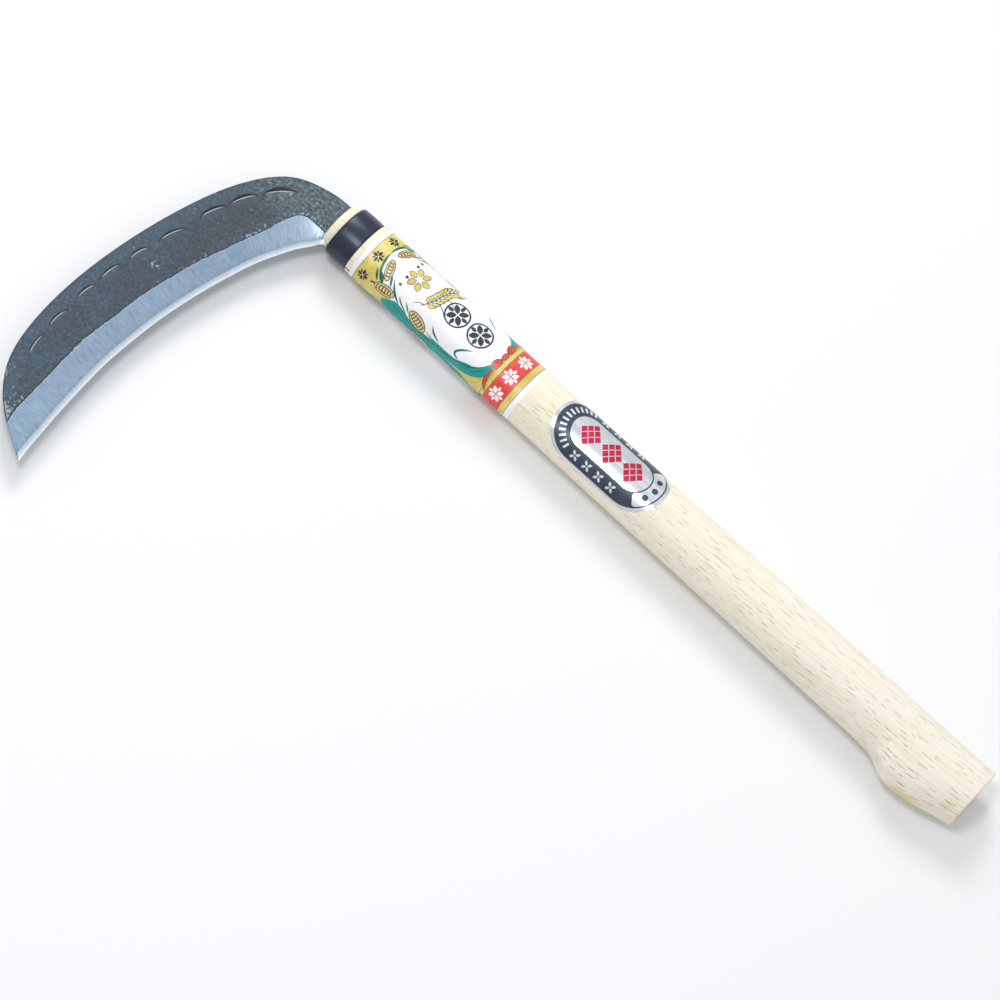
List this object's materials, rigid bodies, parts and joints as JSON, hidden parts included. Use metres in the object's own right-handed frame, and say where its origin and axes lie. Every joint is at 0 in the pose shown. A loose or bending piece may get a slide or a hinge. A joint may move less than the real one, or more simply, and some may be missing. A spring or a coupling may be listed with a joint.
{
  "type": "hand sickle",
  "caption": "One-handed sickle: a curved, single-bevel forged blade set by its tang, at a right angle, in a straight oval wooden handle with a black ferrule and a knobbed butt.",
  "frame": {"origin": "middle of the handle's sawn butt face", "axes": "+X along the handle from butt to head, +Y to the side the blade reaches out to, +Z square to the blade, out of its bevelled face"},
  "size_m": [0.4581, 0.2087, 0.0258],
  "materials": {
    "handle_wood": "bare sanded pale hardwood, no varnish",
    "ferrule_enamel": "black stoved enamel on a steel ring, satin gloss",
    "forged_iron": "dark forge scale, with a ground bevel",
    "edge_steel": "ground and honed hard steel",
    "pin_steel": "bright drawn wire",
    "label_paper": "coated paper printed in gold, green and red",
    "sticker_foil": "metallised film printed in dark grey and crimson"
  },
  "bodies": {
    "root": {"handle": "handle_wood", "ferrule": "ferrule_enamel", "blade_body": "forged_iron", "steel_layer": "edge_steel", "locking_pins": "pin_steel", "paper_label": "label_paper", "foil_sticker": "sticker_foil"}
  },
  "joints": []
}
